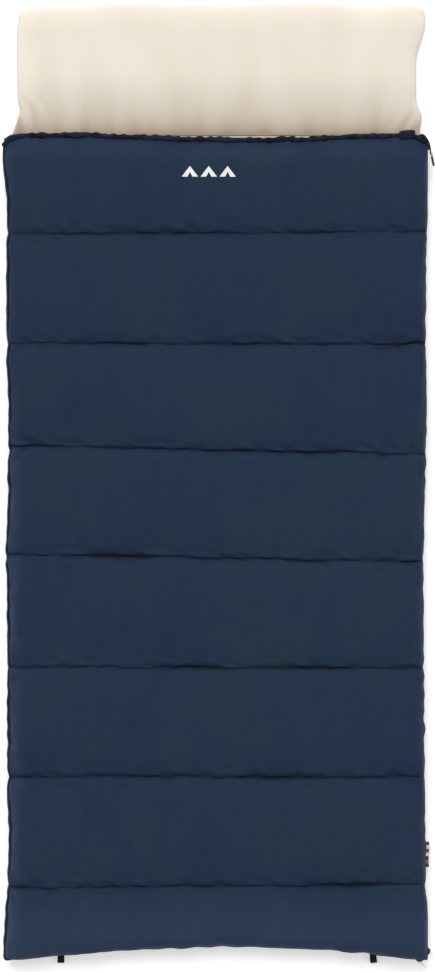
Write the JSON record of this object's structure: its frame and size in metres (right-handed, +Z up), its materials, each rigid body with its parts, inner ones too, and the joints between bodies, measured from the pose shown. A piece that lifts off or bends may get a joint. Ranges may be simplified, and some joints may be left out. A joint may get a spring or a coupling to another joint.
{
  "type": "rectangular sleeping bag",
  "caption": "Rectangular zipped sleeping bag with cross-quilted padded layers, a padded head section that folds up, and hanging loops at the foot.",
  "frame": {"origin": "middle of the bag's underside, halfway along its length and width", "axes": "+Z up from the ground through both layers, +Y towards the head section, +X towards the zipped long side"},
  "size_m": [1.0571, 2.3618, 0.0785],
  "materials": {
    "outer_fabric": "matt woven polyester",
    "padding": "fluffy hollow fibre",
    "lining": "brushed soft cotton",
    "hem_fabric": "matt woven polyester",
    "trim_webbing": "ribbed webbing",
    "label_cloth": "woven label",
    "white_print": "flat printed ink",
    "zip_tape": "knitted tape",
    "zip_coil": "moulded nylon",
    "zip_stop": "pressed metal",
    "slider_metal": "dark enamel over die-cast zinc",
    "pull_metal": "satin nickel",
    "pull_grip": "soft moulded"
  },
  "bodies": {
    "bottom_layer": {"base_shell": "outer_fabric", "base_fill": "padding", "base_lining": "lining", "side_fold": "outer_fabric", "draft_tube": "lining", "side_tape_lower": "zip_tape", "side_coil_lower": "zip_coil", "side_stops_lower": "zip_stop", "foot_tape_lower": "zip_tape", "foot_coil_lower": "zip_coil", "foot_stops_lower": "zip_stop", "loop_anchors": "trim_webbing", "side_label": "label_cloth"},
    "head_section": {"head_shell": "outer_fabric", "head_fill": "padding", "head_lining": "lining", "neck_seam": "lining"},
    "cover": {"cover_shell": "outer_fabric", "cover_fill": "padding", "cover_lining": "lining", "neck_hem": "hem_fabric", "closure_tab": "trim_webbing", "chest_motif": "white_print", "side_tape_upper": "zip_tape", "side_coil_upper": "zip_coil", "side_stops_upper": "zip_stop", "foot_tape_upper": "zip_tape", "foot_coil_upper": "zip_coil", "foot_stops_upper": "zip_stop"},
    "neck_slider": {"neck_slider": "slider_metal"},
    "neck_pull": {"neck_pull_tab": "pull_metal", "neck_pull_grip": "pull_grip"},
    "corner_slider": {"corner_slider": "slider_metal"},
    "corner_pull": {"corner_pull_tab": "pull_metal"},
    "foot_slider": {"foot_slider": "slider_metal"},
    "foot_pull": {"foot_pull_tab": "pull_metal"},
    "hanging_loop_left": {"hanging_loop_left": "trim_webbing"},
    "hanging_loop_right": {"hanging_loop_right": "trim_webbing"}
  },
  "joints": [
    {"name": "cover_open", "type": "hinge", "parent": "bottom_layer", "child": "cover", "pos_m": [-0.524, 0, 0.039], "axis": [0, -1, 0], "range_deg": [0, 179.5], "deforming": ["side_fold"]},
    {"name": "head_fold", "type": "hinge", "parent": "bottom_layer", "child": "head_section", "pos_m": [0, 0.85, 0.012], "axis": [1, 0, 0], "range_deg": [0, 60]},
    {"name": "neck_slider_run", "type": "slide", "parent": "bottom_layer", "child": "neck_slider", "axis": [0, -1, 0], "range_m": [0, 1.91]},
    {"name": "corner_slider_run", "type": "slide", "parent": "bottom_layer", "child": "corner_slider", "axis": [0, 1, 0], "range_m": [0, 1.91]},
    {"name": "foot_slider_run", "type": "slide", "parent": "bottom_layer", "child": "foot_slider", "axis": [-1, 0, 0], "range_m": [0, 0.9825]},
    {"name": "neck_pull_swing", "type": "hinge", "parent": "neck_slider", "child": "neck_pull", "pos_m": [0.5208, 0.823, 0.039], "axis": [0, 0, -1], "range_deg": [-160, 8]},
    {"name": "corner_pull_swing", "type": "hinge", "parent": "corner_slider", "child": "corner_pull", "pos_m": [0.5208, -1.146, 0.039], "axis": [0, 0, 1], "range_deg": [-20, 145]},
    {"name": "foot_pull_swing", "type": "hinge", "parent": "foot_slider", "child": "foot_pull", "pos_m": [0.496, -1.1708, 0.039], "axis": [0, 0, -1], "range_deg": [-38, 125]},
    {"name": "loop_left_swing", "type": "hinge", "parent": "bottom_layer", "child": "hanging_loop_left", "pos_m": [-0.384, -1.166, 0.006], "axis": [-1, 0, 0], "range_deg": [0, 74]},
    {"name": "loop_right_swing", "type": "hinge", "parent": "bottom_layer", "child": "hanging_loop_right", "pos_m": [0.384, -1.166, 0.006], "axis": [-1, 0, 0], "range_deg": [0, 74]}
  ]
}
